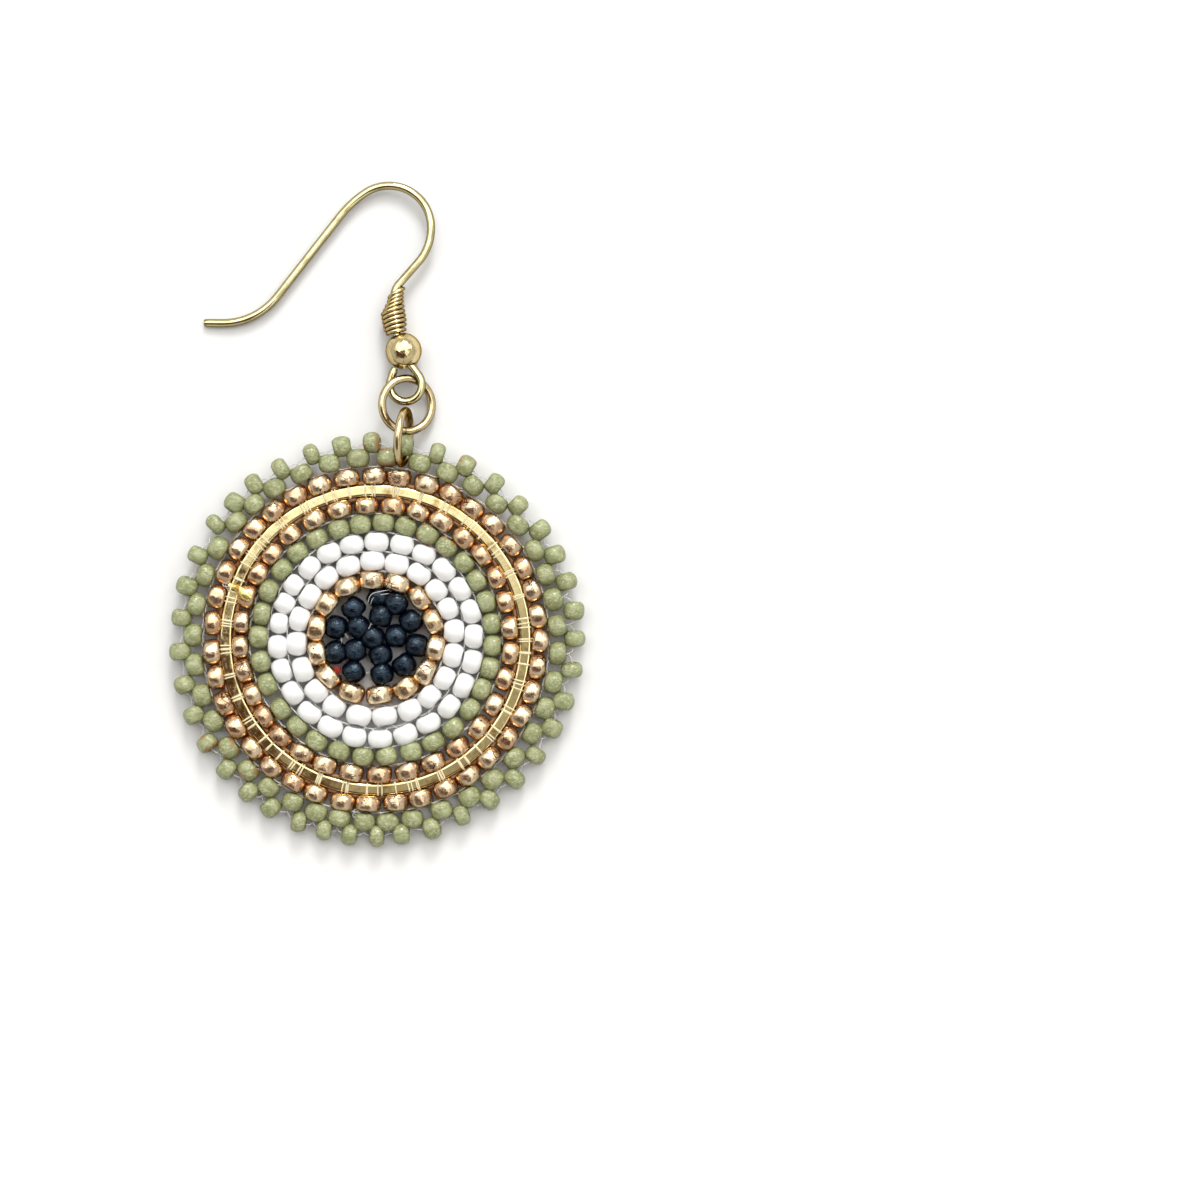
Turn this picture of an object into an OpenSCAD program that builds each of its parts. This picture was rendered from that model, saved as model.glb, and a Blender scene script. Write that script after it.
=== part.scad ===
// Beaded disc earring on a fish-hook ear wire, lying face up on a flat surface.
// The beadwork is stitched in rounds about a flat metal hoop, so each round is one ring.
// Millimetres. +Z is up from the surface, +Y runs from the disc to the hook.

/* [Seed beads] */
// Diameter of a seed bead, across its hole
bead_d = 1.95; // [1.85:0.05:2.0]
// Gap between neighbouring rounds
round_gap = 0.12; // [0.1:0.01:0.16]
// Length of a picot bead along its hole
picot_len = 1.52; // [1.4:0.02:1.6]
// Diameter of a picot bead
picot_d = 1.85; // [1.8:0.05:1.95]
// Number of picot beads round the edge
picots = 40; // [36:1:40]

/* [Rounds of the disc] */
// Radius of the navy centre, with half a gap
centre_r = 4.41; // [4.3:0.01:4.5]
// Room for the gold round about the centre
centre_gold_w = 1.23; // [1.15:0.01:1.3]
// Room for the inner white round
inner_white_w = 1.65; // [1.6:0.01:1.7]
// Room for the outer white round
outer_white_w = 1.57; // [1.5:0.01:1.6]
// Room for the middle green round
middle_green_w = 1.51; // [1.45:0.01:1.55]
// Room for the gold round inside the hoop
inner_gold_w = 1.41; // [1.35:0.01:1.45]
// Room for the flat hoop
hoop_w = 0.98; // [0.9:0.01:1.0]
// Room for the gold round outside the hoop
outer_gold_w = 1.42; // [1.35:0.01:1.42]
// Room for the outermost green round
outer_green_w = 1.6; // [1.6:0.01:1.7]

/* [Hoop] */
// Height of the flat hoop wire
hoop_h = 0.9; // [0.7:0.05:1.1]
// Chamfer on its four edges
hoop_chamfer = 0.12; // [0.05:0.01:0.15]

/* [Ear wire] */
// Diameter of the ear wire
wire_d = 0.66; // [0.6:0.02:0.7]
// Length of the straight tip
tip_run = 1.5; // [1.2:0.1:2.5]
// Diameter of the ball
ball_d = 2.96; // [2.9:0.02:3.0]
// Diameter of the hole through the ball
ball_bore_d = 1.2; // [1.1:0.02:1.3]
// Inner radius of the eye that the ring hangs in
eye_r = 1.02; // [1.0:0.01:1.05]

/* [Coil] */
// Diameter of the coil's wire
coil_wire_d = 0.32; // [0.26:0.01:0.33]
// Turns of the coil
coil_turns = 9; // [7:1:9]
// Distance from one turn to the next
coil_pitch = 0.35; // [0.34:0.01:0.36]
// Radius of the coil's wide lower turns, at the middle of their wire
coil_low_r = 0.8; // [0.76:0.01:0.84]
// Radius of its narrow upper turns
coil_top_r = 0.6; // [0.58:0.01:0.62]

/* [Jump rings] */
// Diameter of the jump rings' wire
ring_wire_d = 0.66; // [0.6:0.02:0.68]
// Outer diameter of a jump ring
ring_od = 4.98; // [4.94:0.01:5.02]
// Width of the saw cut where a ring opens
ring_cut = 0.05; // [0.03:0.01:0.08]

/* [Lying pose] */
// Tilt of the disc, propped by the ring that passes under its edge
disc_tilt = 1.3; // [1.25:0.05:1.6]
// Slope of the hook down to its crown
crown_slope = 2.5; // [2:0.1:3]
// Slope of the hook down to its tip
tip_slope = 3.6; // [3.5:0.05:3.7]
// Twist of the eye against the hook
eye_twist = 8.5; // [8:0.5:10]
// Tilt of the upper jump ring, its left side up
upper_ring_tilt = 22; // [21:0.5:23]
// Lean of the lower jump ring, its top to the left
lower_ring_lean = 9.5; // [9:0.5:10]
// Turn of the lower jump ring, seen from above
lower_ring_turn = 5.3; // [5:0.1:6]

/* [Hidden] */
$fn = 64;

// Where each round starts, counted out from the centre of the disc
centre_gold_r = centre_r;
inner_white_r = centre_gold_r + centre_gold_w;
outer_white_r = inner_white_r + inner_white_w;
middle_green_r = outer_white_r + outer_white_w;
inner_gold_r = middle_green_r + middle_green_w;
hoop_r = inner_gold_r + inner_gold_w;
outer_gold_r = hoop_r + hoop_w;
outer_green_r = outer_gold_r + outer_gold_w;
disc_r = outer_green_r + outer_green_w;

// The navy centre is one bead in a round of five in a round of ten, on a web of thread
navy_inner_r = 0.92;
navy_middle_r = 2.62;
web_h = 0.9;

// Picots overlap the green round by this much, and stand further out on one side
picot_bite = 0.7;
picot_r = disc_r - picot_bite + picot_d / 2;
picot_bulge = 0.2;
picot_bulge_at = 230;
picot_bulge_spread = 18;
// Columns: place round the disc in degrees, drift of the picots there in degrees
picot_drift = [
    [0, 1], [45, 0], [90, 2], [135, 2], [180, 4.5], [230, 6.5], [262, 1.5], [287, -1.5], [310, 0.5], [360, 1]
];
picot_phase = 8;

// The disc stands on whichever is lower at its bottom edge, the green round or the picots
edge_mid_r = outer_green_r + outer_green_w / 2;
disc_z = max(bead_d / 2 + edge_mid_r * sin(disc_tilt), picot_d / 2 + picot_r * sin(disc_tilt));

// The ear wire, as it is bent from its neck in the ball's mouth up to the tip.
// Columns: straight run, bend radius, turn in degrees with left positive
neck_run = 0.72;
hook_bends = [
    [neck_run + 1.5, 1.6, -20],
    [2.6, 1.3, -43],
    [2.5, 4.2, 45],
    [0, 3.5, 119],
    [0, 8.7, 19],
    [8.4, 5.6, -53],
    [tip_run, 0, 0]
];
// The same for the eye, from the neck down
eye_bends = [
    [0, 0.6, 15],
    [1.49, eye_r + wire_d / 2, -237],
    [1, 0, 0]
];
// A bend starts and ends in a short collar that is a hair wider than the wire, and the
// straight and the arc stop this far short of its middle
collar_d = wire_d + 0.014;
collar_len = 0.08;
collar_nip = 0.02;
ball_at = [2.29, 23.71, ball_d / 2];
wire_heading = 112;

// The coil stands on the ball, on the line of the wire's second run
coil_start = -0.25;
coil_steps = 14;
coil_sides = 6;
coil_low_turns = 5;
coil_taper_turns = 1.5;
coil_end_flare = 0.12;
coil_flare_turns = 0.25;

ring_r = (ring_od - ring_wire_d) / 2;
upper_ring_at = [2.57, 19.29, 1.45];
upper_ring_cut_at = 265;
lower_ring_at = [2.33, 16.6, ring_r * cos(lower_ring_lean) + ring_wire_d / 2];
lower_ring_cut_at = 340;
// Room left in the beadwork about the lower ring's wire
passage_clear = 0.11;

// Middle of the whole part seen from above, which is the origin
plan_middle = [0.02, 10.36];

// Moves a piece from the disc's centre to the part's origin
module placed() {
    translate([-plan_middle.x, -plan_middle.y, 0]) children();
}

// Lifts and tilts a piece of the disc into its lying pose
module on_disc() {
    placed() translate([0, 0, disc_z]) rotate([disc_tilt, 0, 0]) children();
}

// Section of a round of beads: a circle cut flat where the beads meet the next round
module round_section(inner, outer) {
    translate([(inner + outer) / 2, 0]) intersection() {
        circle(d = bead_d);
        square([outer - inner, bead_d], center = true);
    }
}

// One stitched round of beads as a ring between two radii
module bead_round(start_r, width) {
    on_disc() rotate_extrude() round_section(start_r + round_gap / 2, start_r + width - round_gap / 2);
}

function picot_angle(i) =
    let (a = picot_phase + i * 360 / picots) a + lookup(a % 360, picot_drift);

function picot_place(a) =
    picot_r + picot_bulge * exp(-pow((a - picot_bulge_at) / picot_bulge_spread, 2));

// A picot bead stands on edge, its hole along the rim
module picot(a) {
    rotate([0, 0, a]) translate([picot_place(a), 0, 0]) intersection() {
        sphere(d = picot_d);
        cube([2 * picot_d, picot_len, 2 * picot_d], center = true);
    }
}

// A bent wire along +X: each row of bends is a straight run and then an arc
module bent_wire(bends, i = 0) {
    run = bends[i][0];
    radius = bends[i][1];
    turn = bends[i][2];
    if (i > 0) wire_collar();
    if (run > 0) straight_wire(run, turn == 0);
    if (turn != 0) translate([run, 0, 0]) {
        if (run > 0) wire_collar();
        mirror([0, turn < 0 ? 1 : 0, 0]) wire_arc(radius, abs(turn));
        translate(arc_end(radius, turn)) rotate([0, 0, turn]) bent_wire(bends, i + 1);
    }
}

module wire_collar() {
    rotate([0, 90, 0]) cylinder(d = collar_d, h = collar_len, center = true);
}

// A run between two collars, or out to the cut end of the wire
module straight_wire(run, last) {
    translate([collar_nip, 0, 0]) rotate([0, 90, 0])
        cylinder(d = wire_d, h = run - (last ? 1 : 2) * collar_nip);
}

// A bend to the left between two collars
module wire_arc(radius, turn) {
    nip = collar_nip / radius * 180 / PI;
    translate([0, radius, 0]) rotate([0, 0, nip - 90])
        rotate_extrude(angle = turn - 2 * nip) translate([radius, 0]) circle(d = wire_d);
}

function arc_end(radius, turn) =
    [radius * sin(abs(turn)), sign(turn) * radius * (1 - cos(turn)), 0];

// Puts a piece at the start of the wire's second run, along it
module on_second_run() {
    bend = hook_bends[0];
    translate([bend[0], 0, 0] + arc_end(bend[1], bend[2])) rotate([0, 0, bend[2]]) children();
}

// Puts a piece of the hook in its plane, with the ball at the origin and the wire along +X
module on_hook(heading) {
    placed() translate(ball_at) rotate([-crown_slope, -tip_slope, 0]) rotate([0, 0, heading]) children();
}

// Radius of the coil after a number of turns: wide, then narrow, its end sprung out a little
function coil_r(turns) =
    let (taper = min(1, max(0, (turns - coil_low_turns) / coil_taper_turns)))
    let (flare = max(0, 1 - (coil_turns - turns) / coil_flare_turns))
    coil_low_r + (coil_top_r - coil_low_r) * taper + coil_end_flare * flare;

function coil_point(turns, out, side) =
    let (r = coil_r(turns) + out, a = 360 * turns)
    [coil_start + turns * coil_pitch + side, r * cos(a), r * sin(a)];

module coil_wire() {
    rings = coil_turns * coil_steps;
    points = [
        for (k = [0:rings]) for (j = [0:coil_sides - 1])
            let (a = 360 * j / coil_sides)
            coil_point(k / coil_steps, coil_wire_d / 2 * cos(a), coil_wire_d / 2 * sin(a))
    ];
    skin = [
        for (k = [0:rings - 1]) for (j = [0:coil_sides - 1])
            let (a = k * coil_sides + j, b = k * coil_sides + (j + 1) % coil_sides)
            [a, b, b + coil_sides, a + coil_sides]
    ];
    first = [for (j = [coil_sides - 1:-1:0]) j];
    last = [for (j = [0:coil_sides - 1]) rings * coil_sides + j];
    polyhedron(points, concat([first], skin, [last]));
}

module ring_body(wire) {
    rotate_extrude() translate([ring_r, 0]) circle(d = wire);
}

// A jump ring with its saw cut at a given angle
module jump_ring(cut_at) {
    difference() {
        ring_body(ring_wire_d);
        rotate([0, 0, cut_at]) translate([ring_r, 0, 0])
            cube([2 * ring_wire_d, ring_cut, 2 * ring_wire_d], center = true);
    }
}

module at_upper_ring() {
    placed() translate(upper_ring_at) rotate([0, upper_ring_tilt, 0]) children();
}

module at_lower_ring() {
    placed() translate(lower_ring_at) rotate([0, 0, -lower_ring_turn])
        rotate([0, 90 - lower_ring_lean, 0]) children();
}

module ear_hook() {
    color("gold") {
        on_hook(wire_heading) translate([-neck_run, 0, 0]) {
            wire_collar();
            bent_wire(hook_bends);
            rotate([0, 0, 180]) rotate([eye_twist, 0, 0]) bent_wire(eye_bends);
        }
    }
}

module hook_coil() {
    color("goldenrod") on_hook(wire_heading) translate([-neck_run, 0, 0]) on_second_run() coil_wire();
}

module hook_ball() {
    color("gold") on_hook(wire_heading) rotate([0, 90, 0]) rotate_extrude() intersection() {
        circle(d = ball_d);
        translate([ball_bore_d / 2, -ball_d]) square([ball_d, 2 * ball_d]);
    }
}

module upper_jump_ring() {
    color("khaki") at_upper_ring() jump_ring(upper_ring_cut_at);
}

module lower_jump_ring() {
    color("khaki") at_lower_ring() jump_ring(lower_ring_cut_at);
}

module frame_hoop() {
    inner = hoop_r + round_gap / 2;
    outer = hoop_r + hoop_w - round_gap / 2;
    top = hoop_h / 2;
    color("gold") on_disc() rotate_extrude() polygon([
        [inner + hoop_chamfer, -top], [outer - hoop_chamfer, -top],
        [outer, -top + hoop_chamfer], [outer, top - hoop_chamfer],
        [outer - hoop_chamfer, top], [inner + hoop_chamfer, top],
        [inner, top - hoop_chamfer], [inner, -top + hoop_chamfer]
    ]);
}

module navy_centre() {
    outer = centre_r - round_gap / 2;
    color("midnightblue") on_disc() rotate_extrude() union() {
        translate([0, -web_h / 2]) square([outer - bead_d / 4, web_h]);
        intersection() {
            circle(d = bead_d);
            translate([0, -bead_d]) square([navy_inner_r, 2 * bead_d]);
        }
        round_section(navy_inner_r + round_gap, navy_middle_r);
        round_section(navy_middle_r + round_gap, outer);
    }
}

module centre_gold_round() {
    color("peru") bead_round(centre_gold_r, centre_gold_w);
}

module inner_white_round() {
    color("white") bead_round(inner_white_r, inner_white_w);
}

module outer_white_round() {
    color("whitesmoke") bead_round(outer_white_r, outer_white_w);
}

module middle_green_round() {
    color("darkseagreen") bead_round(middle_green_r, middle_green_w);
}

module inner_gold_round() {
    color("peru") bead_round(inner_gold_r, inner_gold_w);
}

module outer_gold_round() {
    color("peru") bead_round(outer_gold_r, outer_gold_w);
}

// The outermost round and its picots, stitched as one, with room for the lower ring's wire
module green_edging() {
    color("darkseagreen") difference() {
        union() {
            bead_round(outer_green_r, outer_green_w);
            on_disc() for (i = [0:picots - 1]) picot(picot_angle(i));
        }
        at_lower_ring() ring_body(ring_wire_d + 2 * passage_clear);
    }
}

ear_hook();
hook_coil();
hook_ball();
upper_jump_ring();
lower_jump_ring();
frame_hoop();
navy_centre();
centre_gold_round();
inner_white_round();
outer_white_round();
middle_green_round();
inner_gold_round();
outer_gold_round();
green_edging();
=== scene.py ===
import math

import bpy
import numpy as np
from mathutils import Matrix, Vector


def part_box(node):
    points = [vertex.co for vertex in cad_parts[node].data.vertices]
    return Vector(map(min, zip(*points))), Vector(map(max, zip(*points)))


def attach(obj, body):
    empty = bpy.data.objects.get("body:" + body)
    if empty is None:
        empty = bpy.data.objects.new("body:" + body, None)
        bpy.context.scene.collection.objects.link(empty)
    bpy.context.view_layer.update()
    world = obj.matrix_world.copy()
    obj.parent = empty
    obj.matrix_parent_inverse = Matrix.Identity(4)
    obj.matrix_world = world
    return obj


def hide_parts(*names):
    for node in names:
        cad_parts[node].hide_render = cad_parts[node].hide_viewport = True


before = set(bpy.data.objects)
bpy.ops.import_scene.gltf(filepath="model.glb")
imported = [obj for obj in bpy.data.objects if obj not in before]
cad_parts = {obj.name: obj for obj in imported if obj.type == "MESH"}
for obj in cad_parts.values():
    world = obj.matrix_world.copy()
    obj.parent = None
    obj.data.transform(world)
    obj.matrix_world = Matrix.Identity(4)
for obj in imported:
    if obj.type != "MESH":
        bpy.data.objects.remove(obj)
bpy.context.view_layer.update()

# The navy centre: sixteen opaque navy seed beads with a satin gloss, one in a ring of five in a
# ring of ten. They are the first beads of the disc, stitched flat with clear thread, and one of
# the outer ten has sunk between its neighbours.
MM = 0.001
BODY = "root"
UP = np.array([0.0, 0.0, 1.0])
DISC_CENTRE = np.array((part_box("frame_hoop")[0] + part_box("frame_hoop")[1]) / 2)
DISC_TILT = math.radians(1.3)
NAVY_LENGTH = 1.68 * MM
NAVY_WIDTH = 1.96 * MM
# Columns: angle round the disc, distance from its centre, height, turn of the hole from the radius
NAVY_PLACES = np.array([
    (133, 0.28, 0.10, 20),
    (143, 1.78, 0.05, 10), (78, 2.01, 0.15, 0), (11, 1.69, 0.05, -15), (-72, 1.27, 0, 5),
    (206, 1.85, 0.05, -10),
    (125, 3.16, 0, 15), (87, 3.53, -0.45, 60), (61, 3.47, 0.10, -20), (28, 3.26, 0, 10),
    (-7, 3.37, 0.05, 0), (-41, 3.10, 0, -15), (-80, 2.85, 0.05, 10), (235, 3.14, 0, -20),
    (197, 3.42, 0.05, 5), (162, 3.40, 0, 0)
])
NAVY_DEEP = (0.001, 0.002, 0.006, 1)
# The pale slate colour below is a painted sheen for the tops of the beads.
NAVY_PAINTED_SHEEN = (0.013, 0.026, 0.046, 1)
NAVY_SHEEN = (0.62, 0.84, 1.0, 1)

BEAD_SIDES = 8
# Sections of a seed bead, round and squarer. Columns: place along the hole, distance from the
# hole's axis, as shares of half the bead's length and half its width
BEAD_SECTION = np.array([
    (0.0, 1.0), (0.65, 0.89), (1.0, 0.57), (0.62, 0.33), (-0.62, 0.33), (-1.0, 0.57), (-0.65, 0.89)
])
SQUARE_SECTION = np.array([
    (0.0, 1.0), (0.74, 0.91), (1.0, 0.64), (0.66, 0.35), (-0.66, 0.35), (-1.0, 0.64), (-0.74, 0.91)
])


def on_disc(points):
    """Turn points by the disc's tilt about X, then shift them to the disc's centre."""
    x, y, z = np.moveaxis(points, -1, 0)
    c, s = math.cos(DISC_TILT), math.sin(DISC_TILT)
    return np.stack([x, c * y - s * z, s * y + c * z], -1) + DISC_CENTRE


def polar(angle, radius, height=0.0):
    """A point from its angle in degrees, distance from the axis and height. Its places along X
    and Y are the distance times cos and sin of the angle."""
    a = np.radians(angle)
    return np.stack(np.broadcast_arrays(radius * np.cos(a), radius * np.sin(a), height), -1)


def spline_cage(outline):
    """Control points of the closed cubic B-spline through an outline: each point of the outline
    is a sixth of its two neighbours' control points and four sixths of its own."""
    one = np.eye(len(outline))
    return np.linalg.solve((np.roll(one, 1, 0) + 4 * one + np.roll(one, -1, 0)) / 6, outline)


def closed_grid(rows, columns, count=1):
    """Faces of a grid that closes on itself both ways, repeated for a number of like grids."""
    i, j = np.meshgrid(np.arange(rows), np.arange(columns), indexing="ij")
    i2, j2 = (i + 1) % rows, (j + 1) % columns
    corners = np.stack([i * columns + j, i * columns + j2, i2 * columns + j2, i2 * columns + j], -1)
    shift = np.arange(count) * rows * columns
    return (corners.reshape(1, -1, 4) + shift[:, None, None]).reshape(-1, 4)


def add_object(name, data):
    """A new object, put in the scene."""
    thing = bpy.data.objects.new(name, data)
    bpy.context.scene.collection.objects.link(thing)
    return thing


def add_piece(name, points, faces, material, levels=0, sharp=None, replaced=()):
    """A smooth mesh piece from its points and faces, riding on the part's one body. An attribute
    holds how far each of its points faces up: 1 at the top, 0 on the flanks."""
    mesh = bpy.data.meshes.new(name)
    mesh.from_pydata(points.reshape(-1, 3).tolist(), [], [list(f) for f in faces])
    mesh.polygons.foreach_set("use_smooth", np.ones(len(mesh.polygons), bool))
    mesh.materials.append(material)
    if sharp is not None:
        mesh.set_sharp_from_angle(angle=math.radians(sharp))
    normals = np.empty(3 * len(mesh.vertices), np.float32)
    mesh.vertex_normals.foreach_get("vector", normals)
    mesh.attributes.new("up", "FLOAT", "POINT").data.foreach_set("value", normals[2::3].copy())
    piece = add_object(name, mesh)
    if levels:
        rounding = piece.modifiers.new("rounding", "SUBSURF")
        rounding.levels = rounding.render_levels = levels
    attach(piece, BODY)
    if replaced:
        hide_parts(*replaced)
    return piece


def add_beads(
    name, centres, holes, lengths, widths, material, slot, replaced, seed, squash=1.0,
    section=BEAD_SECTION, lumpy=0.02, stained=()
):
    """Seed beads as one mesh. Each is its section swept round its hole: a point is the bead's
    centre, plus its share of half the length along the hole, plus its share of half the width
    turned round the hole, plus a small random share that makes the bead lumpy. Attributes carry
    each bead's own tone, whether it is stained, and how near its end a point is."""
    rng = np.random.default_rng(seed)
    count = len(centres)
    cage = spline_cage(section)
    turn = np.arange(BEAD_SIDES) * 2 * np.pi / BEAD_SIDES
    ring_share = (4 + 2 * math.cos(2 * np.pi / BEAD_SIDES)) / 6
    along = np.repeat(cage[:, :1], BEAD_SIDES, 1)
    side = cage[:, 1:] * np.cos(turn) / ring_share
    up = cage[:, 1:] * np.sin(turn) / ring_share
    holes = holes / np.linalg.norm(holes, axis=-1, keepdims=True)
    across = np.cross(UP, holes)
    across /= np.linalg.norm(across, axis=-1, keepdims=True)
    height = np.cross(holes, across)
    half_length = lengths[:, None, None, None] / 2
    half_width = widths[:, None, None, None] / 2
    half_height = half_width * squash
    points = (
        centres[:, None, None]
        + half_length * along[..., None] * holes[:, None, None]
        + half_width * side[..., None] * across[:, None, None]
        + half_height * up[..., None] * height[:, None, None]
        + half_width * rng.normal(0, lumpy, (count, len(cage), BEAD_SIDES, 3))
    )
    faces = closed_grid(len(cage), BEAD_SIDES, count)
    piece = add_piece(name, on_disc(points), faces, material, levels=2, replaced=replaced)
    tone = np.repeat(rng.random(count), len(cage) * BEAD_SIDES)
    stain = np.repeat(np.isin(np.arange(count), stained), len(cage) * BEAD_SIDES)
    end = np.tile(np.abs(along).ravel(), count)
    for label, values in (("tone", tone), ("stain", stain), ("end", end)):
        layer = piece.data.attributes.new(label, "FLOAT", "POINT")
        layer.data.foreach_set("value", values.astype(np.float32))


def new_material(name, **sockets):
    """A node material. What is the same all over is set on its main shader's own sockets."""
    material = bpy.data.materials.new(name)
    material.use_nodes = True
    shader = material.node_tree.nodes["Principled BSDF"]
    for key, value in sockets.items():
        shader.inputs[key.replace("_", " ")].default_value = value
    return material


def feed(material, socket, value):
    """Give an input its value: another node's output, a number or a colour."""
    if isinstance(value, bpy.types.NodeSocket):
        material.node_tree.links.new(value, socket)
    else:
        socket.default_value = value


def add_node(material, kind, **values):
    """A shader node. Names with a capital are its inputs, the others its properties."""
    node = material.node_tree.nodes.new("ShaderNode" + kind)
    for key, value in values.items():
        if key[0].isupper():
            feed(material, node.inputs[key.replace("_", " ")], value)
        else:
            setattr(node, key, value)
    return node


def millimetres(material, stretch=(1, 1, 1)):
    """The object's own coordinates counted in millimetres."""
    place = add_node(material, "TexCoord").outputs["Object"]
    scale = tuple(s / MM for s in stretch)
    return add_node(material, "Mapping", Vector=place, Scale=scale).outputs["Vector"]


def noise(material, scale, detail=2.0, stretch=(1, 1, 1), **values):
    """Soft noise with so many waves to the millimetre."""
    place = millimetres(material, stretch)
    node = add_node(material, "TexNoise", Vector=place, Scale=scale, Detail=detail, **values)
    return node.outputs["Fac"]


def step(material, value, start, end, low=0.0, high=1.0):
    """A value between start and end carried over to low and high, smoothly."""
    node = add_node(
        material, "MapRange", interpolation_type="SMOOTHSTEP", Value=value,
        From_Min=start, From_Max=end, To_Min=low, To_Max=high
    )
    return node.outputs["Result"]


def calculate(material, operation, first, second):
    """One sum on two values, each an output or a number."""
    node = add_node(material, "Math", operation=operation)
    for socket, value in zip(node.inputs, (first, second)):
        feed(material, socket, value)
    return node.outputs["Value"]


def mixed(material, share, first, second):
    """A colour between two, each an output or a colour."""
    node = add_node(material, "Mix", data_type="RGBA")
    for number, value in ((0, share), (6, first), (7, second)):
        feed(material, node.inputs[number], value)
    return node.outputs[2]


def attribute(material, name):
    """One of a piece's own attributes."""
    return add_node(material, "Attribute", attribute_name=name).outputs["Fac"]


def finish_surface(material, colour, roughness, height=None, depth=0.0, push=0.5):
    """Join colour, roughness and, where there is one, relief to the main shader."""
    sockets = material.node_tree.nodes["Principled BSDF"].inputs
    feed(material, sockets["Base Color"], colour)
    feed(material, sockets["Roughness"], roughness)
    if height is not None:
        relief = add_node(material, "Bump", Height=height, Strength=push, Distance=depth)
        feed(material, sockets["Normal"], relief.outputs["Normal"])


navy = new_material("navy glass, satin", Specular_IOR_Level=0.44, Specular_Tint=NAVY_SHEEN)
navy_cloud = step(navy, noise(navy, 1.3, 3.0, stretch=(1, 1.5, 1), Distortion=1.2), 0.46, 0.64)
navy_streak = noise(navy, 1.7, 3.0, stretch=(1, 2, 1), Distortion=0.8)
# Painted sheen: pale slate in clouds over the tops of the beads, standing in for a soft highlight.
navy_painted_sheen_share = step(navy, attribute(navy, "up"), 0.50, 0.95)
finish_surface(
    navy, mixed(navy, calculate(navy, "MULTIPLY", navy_cloud, navy_painted_sheen_share), NAVY_DEEP, NAVY_PAINTED_SHEEN),
    roughness=step(navy, navy_streak, 0.3, 0.7, 0.03, 0.12),
    height=calculate(navy, "ADD", navy_streak, noise(navy, 4.4)), depth=0.07 * MM, push=0.8
)

navy_angle, navy_out, navy_height, navy_turn = NAVY_PLACES.T
add_beads(
    "navy_beads",
    polar(navy_angle, navy_out * MM, navy_height * MM),
    polar(navy_angle + navy_turn, 1.0),
    np.full(len(navy_angle), NAVY_LENGTH), np.full(len(navy_angle), NAVY_WIDTH),
    navy, "navy_glass", replaced=["navy_centre"], seed=3, lumpy=0.04
)

# The gold round about the centre: fourteen glass beads with a champagne gold coat, paler than that
# of the two rounds by the hoop. It is pitted and wears to amber glass at the rims of the holes; the
# amber there and low on the flanks is also a painted shade and reflection of the neighbouring beads.
# Like every round, this one is even but for a drift that the stitching left in it.
ROUND_GAP = 0.04 * MM
BEAD_CHANCE = 0.2
BEAD_SPREAD = (0.95, 1.02)
BEAD_OFF_ROUND = 0.025 * MM
BEAD_OFF_LEVEL = 0.04 * MM
BEAD_LEAN = 5.0
BEAD_DIP = 0.06
GOLD_ROSE = (0.63, 0.415, 0.255, 1)
GOLD_PALE = (0.77, 0.61, 0.415, 1)
CHAMPAGNE = (0.68, 0.50, 0.31, 1)
CHAMPAGNE_PALE = (0.80, 0.67, 0.47, 1)
# Amber: worn coat at the rims of the holes, and painted shade and reflection there and low on the flanks
GOLD_AMBER_WEAR_AND_SHADE = (0.64, 0.375, 0.150, 1)
GOLD_EDGE = (0.68, 0.44, 0.22, 1)
GOLD_PIT = (0.10, 0.045, 0.018, 1)
BEAD_WIDTH = 1.93 * MM
GOLD_WIDTH = 2.14 * MM
CENTRE_GOLD_WIDTH = 2.30 * MM
GOLD_FORM = {"squash": 0.94, "section": SQUARE_SECTION, "lumpy": 0.05}
CENTRE_GOLD = {
    "inner": 4.20 * MM, "outer": 5.70 * MM, "count": 14, "first": 18.0,
    # Columns: number of the bead, drift there in degrees
    "drift": [(0, 0), (1, 0), (5, -3), (8, -6.5), (11, 1), (14, 0)],
    # Columns: angle of the place, pull in millimetres, spread in degrees
    "drawn_in": [(275, 0.40, 45)]
}


def round_angles(layout, rng):
    """Angles of a round's beads: even steps from the first one, plus the drift looked up at each
    bead's number, plus a little chance. Where something parts the beads, they move away from it
    by its push x exp(-(distance / spread) squared)."""
    number = np.arange(layout["count"])
    at, drift = np.array(layout["drift"], float).T
    even = layout["first"] + number * 360 / layout["count"]
    angles = even + np.interp(number, at, drift) + rng.normal(0, BEAD_CHANCE, layout["count"])
    for place, push, spread in layout.get("parted", []):
        away = angles - place
        angles = angles + push * np.sign(away) * np.exp(-(away / spread) ** 2)
    return angles


def room_beside(angles, radius):
    """Distance from each bead to the nearer of its two neighbours, in a straight line."""
    gap = np.mod(np.roll(angles, -1) - angles, 360)
    chord = 2 * radius * np.sin(np.radians(gap / 2))
    return np.minimum(chord, np.roll(chord, 1))


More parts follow.
